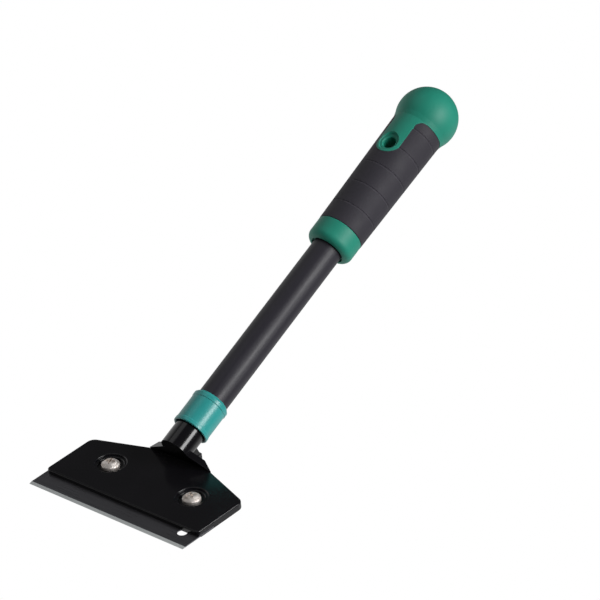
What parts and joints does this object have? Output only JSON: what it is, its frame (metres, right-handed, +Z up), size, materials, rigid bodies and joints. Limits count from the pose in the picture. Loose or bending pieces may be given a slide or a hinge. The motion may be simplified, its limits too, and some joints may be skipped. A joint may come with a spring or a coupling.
{
  "type": "algae scraper",
  "caption": "Long-handled algae scraper: clamped steel blade in an angled alloy head, steel tube shaft, ball-ended grip with a hang hole.",
  "frame": {"origin": "centre of the hang hole, on the shaft's axis", "axes": "+Z up the shaft to the ball end, -Y to the front, where the screw heads are, +X to the right seen from the front"},
  "size_m": [0.1, 0.032, 0.2861],
  "materials": {
    "blade_steel": "thin spring steel with a dark satin face and a bright ground edge",
    "painted_alloy": "die-cast aluminium alloy in gloss black paint",
    "clamp_metal": "black painted alloy bar",
    "screw_steel": "bright nickel-plated steel",
    "pipe_steel": "steel tube with a dark grey satin coat",
    "pin_steel": "plain steel",
    "collar_plastic": "teal moulded plastic with a soft gloss",
    "handle_plastic": "green moulded polypropylene with a soft gloss",
    "grip_rubber": "charcoal soft-touch thermoplastic rubber"
  },
  "bodies": {
    "frame": {"head_casting": "painted_alloy", "pipe": "pipe_steel", "spigot_pin": "pin_steel", "tube_plug": "pin_steel", "pipe_collar": "collar_plastic", "handle_core": "handle_plastic", "grip_sleeve": "grip_rubber"},
    "left_screw": {"clamp_screw_left": "screw_steel"},
    "right_screw": {"clamp_screw_right": "screw_steel"},
    "clamp": {"clamp_plate": "clamp_metal", "clamp_nut_left": "screw_steel", "clamp_nut_right": "screw_steel"},
    "blade": {"blade": "blade_steel"}
  },
  "joints": [
    {"name": "left_screw_turn", "type": "hinge", "parent": "frame", "child": "left_screw", "pos_m": [-0.0265, 0.00039, -0.21335], "axis": [0, -0.9135, 0.4067], "range_deg": [0, 1440]},
    {"name": "right_screw_turn", "type": "hinge", "parent": "frame", "child": "right_screw", "pos_m": [0.0265, 0.00039, -0.21335], "axis": [0, -0.9135, 0.4067], "range_deg": [0, 1440]},
    {"name": "clamp_open", "type": "slide", "parent": "frame", "child": "clamp", "axis": [0, 0.9135, -0.4067], "range_m": [0, 0.0032]},
    {"name": "blade_slide", "type": "slide", "parent": "frame", "child": "blade", "axis": [0, -0.4067, -0.9135], "range_m": [0, 0.01]}
  ],
  "couplings": [
    {"joint": "right_screw_turn", "follows": "left_screw_turn", "ratio": 1},
    {"joint": "clamp_open", "follows": "left_screw_turn", "m_per_rad": 0.00012732}
  ]
}
